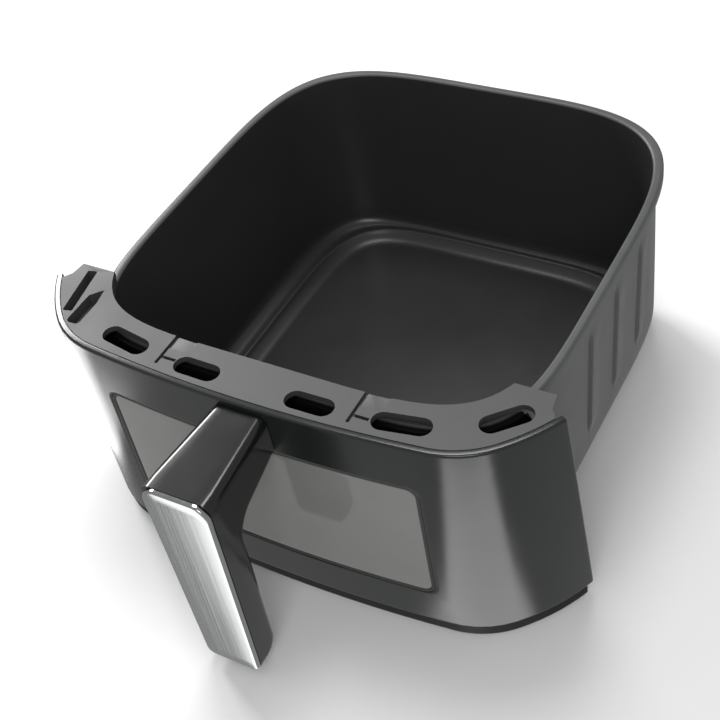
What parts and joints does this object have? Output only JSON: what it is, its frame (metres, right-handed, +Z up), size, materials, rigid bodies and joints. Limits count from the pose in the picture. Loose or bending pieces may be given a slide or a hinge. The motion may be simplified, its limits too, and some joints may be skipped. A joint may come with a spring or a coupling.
{
  "type": "air fryer drawer",
  "caption": "Pull-out drawer of a square air fryer: deep coated pan, vented top deck, bowed glossy front with an inset window, and a drop handle with a brushed plate.",
  "frame": {"origin": "centre of the pan's floor, on its upper face", "axes": "+X across the drawer to the right seen from the front, +Y to the back of the pan, away from the handle, +Z up"},
  "size_m": [0.2872, 0.3243, 0.1353],
  "materials": {
    "nonstick_coating": "satin non-stick coating on pressed steel",
    "deck_plastic": "fine matt moulded grey",
    "shell_plastic": "polished dark grey",
    "trim_plastic": "satin black",
    "cover_plastic": "matt black moulding",
    "handle_plastic": "polished near black",
    "brushed_stainless": "brushed along its length",
    "zinc_steel": "dull zinc plate",
    "tinted_glass": "smoked, coated on the back, reads as opaque",
    "seal_rubber": "matt black"
  },
  "bodies": {
    "root": {"pan": "nonstick_coating", "top_deck": "deck_plastic", "front_shell": "shell_plastic", "window_pane": "tinted_glass", "window_seal": "seal_rubber", "window_frame": "zinc_steel", "inner_cover": "cover_plastic", "base_trim": "trim_plastic", "handle_body": "handle_plastic", "handle_plate": "brushed_stainless", "handle_backing": "zinc_steel", "handle_screw_left": "zinc_steel", "handle_screw_right": "zinc_steel", "pan_bracket": "zinc_steel", "pan_rivet_left_lower": "zinc_steel", "pan_rivet_left_upper": "zinc_steel", "pan_rivet_right_lower": "zinc_steel", "pan_rivet_right_upper": "zinc_steel", "bracket_screw_left": "zinc_steel", "bracket_screw_right": "zinc_steel", "base_screw_left": "zinc_steel", "base_screw_right": "zinc_steel", "foot_rear_left": "seal_rubber", "foot_rear_right": "seal_rubber", "foot_front_left": "seal_rubber", "foot_front_right": "seal_rubber"}
  },
  "joints": []
}
